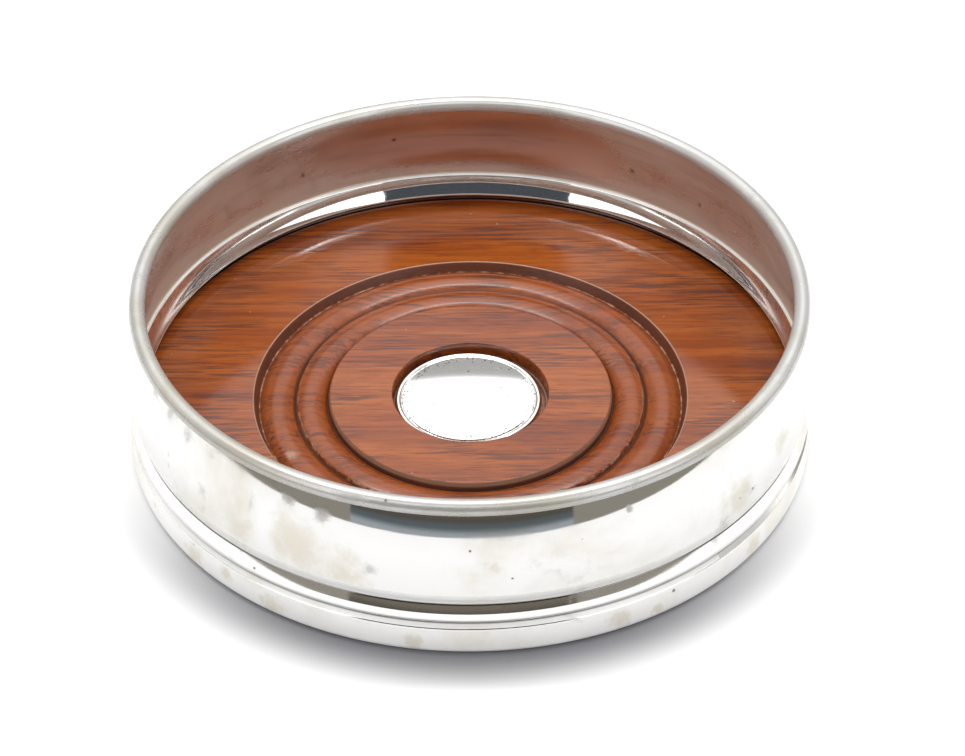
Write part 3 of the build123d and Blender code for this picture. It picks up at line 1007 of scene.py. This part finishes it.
class COASTER_OT_studio(Operator):
    """Sets up the pale floor with a shadow painted in front of the coaster, the soft light and the camera
    """

    bl_idname = "coaster.studio"
    bl_label = "Studio"

    def execute(self, context):
        settings = context.scene.coaster_studio
        self.floor(settings)
        self.opening(settings)
        self.tent(context.scene, settings)
        self.key(settings)
        self.camera(context.scene, settings)
        context.scene.view_settings.view_transform = "Standard"
        return {"FINISHED"}

    def floor(self, settings):
        bpy.ops.object.select_all(action="DESELECT")
        middle = (0, settings.floor_radius - settings.floor_front, -settings.floor_gap)
        bpy.ops.mesh.primitive_circle_add(
            vertices=RING_STEPS, radius=settings.floor_radius, fill_type="NGON", location=middle
        )
        bpy.ops.object.transform_apply(location=True)
        floor = bpy.context.object
        floor.name = "floor"
        finish = Finish("pale_floor")
        away = finish.add("ShaderNodeVectorMath", {0: finish.place}, operation="LENGTH")["Value"]
        depth = finish.axes(finish.place)[1]
        # Painted shadow: the floor's colour darkens towards the shadow colour near the coaster's front
        near = finish.ramp(away, BAND_HIGH.x, settings.shadow_reach, *FALLING)
        front = finish.ramp(depth, -BAND_HIGH.x, -0.2 * BAND_HIGH.x, *FALLING)
        pale, shaded = opaque(settings.floor_white), opaque(settings.floor_shadow)
        finish.shade("Base Color", finish.blend(finish.times(near, front), pale, shaded))
        finish.shade("Roughness", 0.9)
        finish.shade("Specular IOR Level", 0.0)
        floor.data.materials.append(finish.material)

    def opening(self, settings):
        width = settings.opening_right - settings.opening_left
        height = settings.opening_top - settings.opening_bottom
        centre = (
            settings.opening_left + width / 2,
            -settings.opening_distance,
            settings.opening_bottom + height / 2,
        )
        bpy.ops.object.select_all(action="DESELECT")
        bpy.ops.mesh.primitive_plane_add(size=1, location=centre, rotation=(pi / 2, 0, 0))
        card = bpy.context.object
        card.name = "front_opening"
        card.scale = (width, height, 1)
        bpy.ops.object.transform_apply(location=True, rotation=True, scale=True)
        card.visible_camera = False
        finish = Finish("dark_room")
        level = finish.axes(finish.place)[2]
        room = opaque(ROOM_FLOOR)
        for low, high, band in ROOM_BANDS:
            room = finish.blend(finish.ramp(level, low, high), room, opaque(band))
        glow = finish.add("ShaderNodeEmission", {"Color": room, "Strength": 1.0})
        finish.tree.nodes.remove(finish.tree.nodes["Principled BSDF"])
        finish.put(glow[0], finish.tree.nodes["Material Output"].inputs["Surface"])
        card.data.materials.append(finish.material)

    def tent(self, scene, settings):
        scene.world = bpy.data.worlds.new("light_tent")
        scene.world.use_nodes = True
        nodes = Nodes(scene.world.node_tree)
        _, depth, height = nodes.axes(nodes.add("ShaderNodeTexCoord")["Generated"])
        strength = settings.tent_light
        for setting, across, upwards in TENT_PARTS:
            part = nodes.times(nodes.ramp(depth, *across), nodes.ramp(height, *upwards))
            strength = nodes.ramp(part, 0.0, 1.0, strength, getattr(settings, setting))
        skirt = part
        tint = nodes.blend(skirt, opaque(settings.tent_tint), opaque(settings.skirt_tint))
        light = nodes.tree.nodes["Background"]
        nodes.put(strength, light.inputs["Strength"])
        nodes.put(tint, light.inputs["Color"])
        backdrop = nodes.add("ShaderNodeBackground", {"Color": (1, 1, 1, 1), "Strength": 1.0})
        seen = nodes.add("ShaderNodeLightPath")["Is Camera Ray"]
        mixed = nodes.add("ShaderNodeMixShader", {0: seen, 1: light.outputs[0], 2: backdrop[0]})
        nodes.put(mixed[0], nodes.tree.nodes["World Output"].inputs["Surface"])

    def key(self, settings):
        bpy.ops.object.light_add(type="AREA", location=(0, settings.key_back, settings.key_height))
        strip = bpy.context.object
        strip.name = "key_strip"
        strip.data.shape = "RECTANGLE"
        strip.data.size = settings.key_length
        strip.data.size_y = settings.key_width
        strip.data.energy = settings.key_power

    def camera(self, scene, settings):
        tilt = Matrix.Rotation(pi / 2 - settings.elevation, 3, "X")
        turn = tilt @ Matrix.Rotation(settings.roll, 3, "Z")
        aim = Vector((0, 0, settings.aim_height))
        bpy.ops.object.camera_add()
        camera = bpy.context.object
        camera.location = aim + turn @ Vector((settings.slide_right, settings.slide_up, settings.distance))
        camera.rotation_euler = turn.to_euler()
        camera.data.lens = settings.lens
        scene.camera = camera


OPERATORS = (
    COASTER_OT_gallery,
    COASTER_OT_foot,
    COASTER_OT_wood,
    COASTER_OT_boss,
    COASTER_OT_baize,
    COASTER_OT_fixings,
    COASTER_OT_studio,
)
SETTINGS = {
    "coaster_gallery": GallerySizes,
    "coaster_foot": FootSizes,
    "coaster_wood": WoodSizes,
    "coaster_boss": BossSizes,
    "coaster_finishes": Finishes,
    "coaster_studio": StudioSettings,
}


class COASTER_PT_sidebar(Panel):
    """Lists the coaster's pieces and its sizes"""

    bl_idname = "COASTER_PT_sidebar"
    bl_label = "Coaster"
    bl_space_type = "VIEW_3D"
    bl_region_type = "UI"
    bl_category = "Coaster"

    def draw(self, context):
        for operator in OPERATORS:
            self.layout.operator(operator.bl_idname)
        for name, group in SETTINGS.items():
            box = self.layout.box()
            box.label(text=group.__doc__)
            for key in group.__annotations__:
                box.prop(getattr(context.scene, name), key)


CLASSES = (*SETTINGS.values(), *OPERATORS, COASTER_PT_sidebar)


def register():
    for kind in CLASSES:
        bpy.utils.register_class(kind)
    for name, group in SETTINGS.items():
        setattr(bpy.types.Scene, name, PointerProperty(type=group))


def unregister():
    for name in SETTINGS:
        delattr(bpy.types.Scene, name)
    for kind in reversed(CLASSES):
        bpy.utils.unregister_class(kind)


def main():
    register()
    bpy.ops.coaster.gallery()
    bpy.ops.coaster.foot()
    bpy.ops.coaster.wood()
    bpy.ops.coaster.boss()
    bpy.ops.coaster.baize()
    bpy.ops.coaster.fixings()
    bpy.ops.coaster.studio()


if __name__ == "__main__":
    main()
